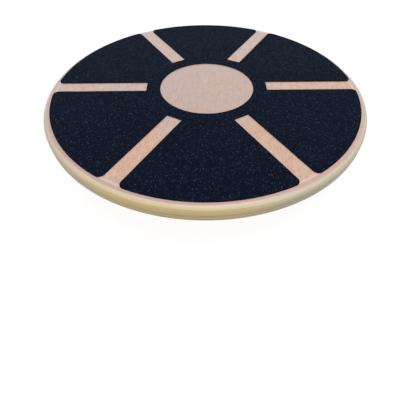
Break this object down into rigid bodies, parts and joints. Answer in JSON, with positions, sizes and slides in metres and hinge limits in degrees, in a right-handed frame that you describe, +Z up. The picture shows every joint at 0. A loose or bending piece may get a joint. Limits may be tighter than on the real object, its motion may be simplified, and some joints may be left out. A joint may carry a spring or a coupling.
{
  "type": "balance disc",
  "caption": "Round plywood balance board with a slotted black anti-slip sheet on top, on a moulded black dome foot with gussets.",
  "frame": {"origin": "lowest point of the dome foot, on the disc's axis, on the floor that the disc stands on", "axes": "+Z up along the disc's axis, out of the standing surface; +X and +Y in the level plane, -Y towards the picture's viewer"},
  "size_m": [0.4, 0.4, 0.0826],
  "materials": {
    "grip_sheet": "matt fine grit",
    "face_veneer": "satin clear lacquer on pinkish veneer",
    "core_long_grain": "sanded and lacquered long-grain ply",
    "core_cross_grain": "sanded and lacquered cross-grain ply",
    "foot_plastic": "moulded black, semi-gloss",
    "screw_black": "black oxide"
  },
  "bodies": {
    "root": {"grip_sheet": "grip_sheet", "top_face_veneer": "face_veneer", "core_ply_1": "core_long_grain", "core_ply_2": "core_cross_grain", "core_ply_3": "core_long_grain", "core_ply_4": "core_cross_grain", "core_ply_5": "core_long_grain", "core_ply_6": "core_cross_grain", "core_ply_7": "core_long_grain", "under_face_veneer": "face_veneer", "foot_moulding": "foot_plastic", "foot_screw_1": "screw_black", "foot_screw_2": "screw_black", "foot_screw_3": "screw_black", "foot_screw_4": "screw_black", "foot_screw_5": "screw_black", "foot_screw_6": "screw_black", "foot_screw_7": "screw_black", "foot_screw_8": "screw_black"}
  },
  "joints": []
}
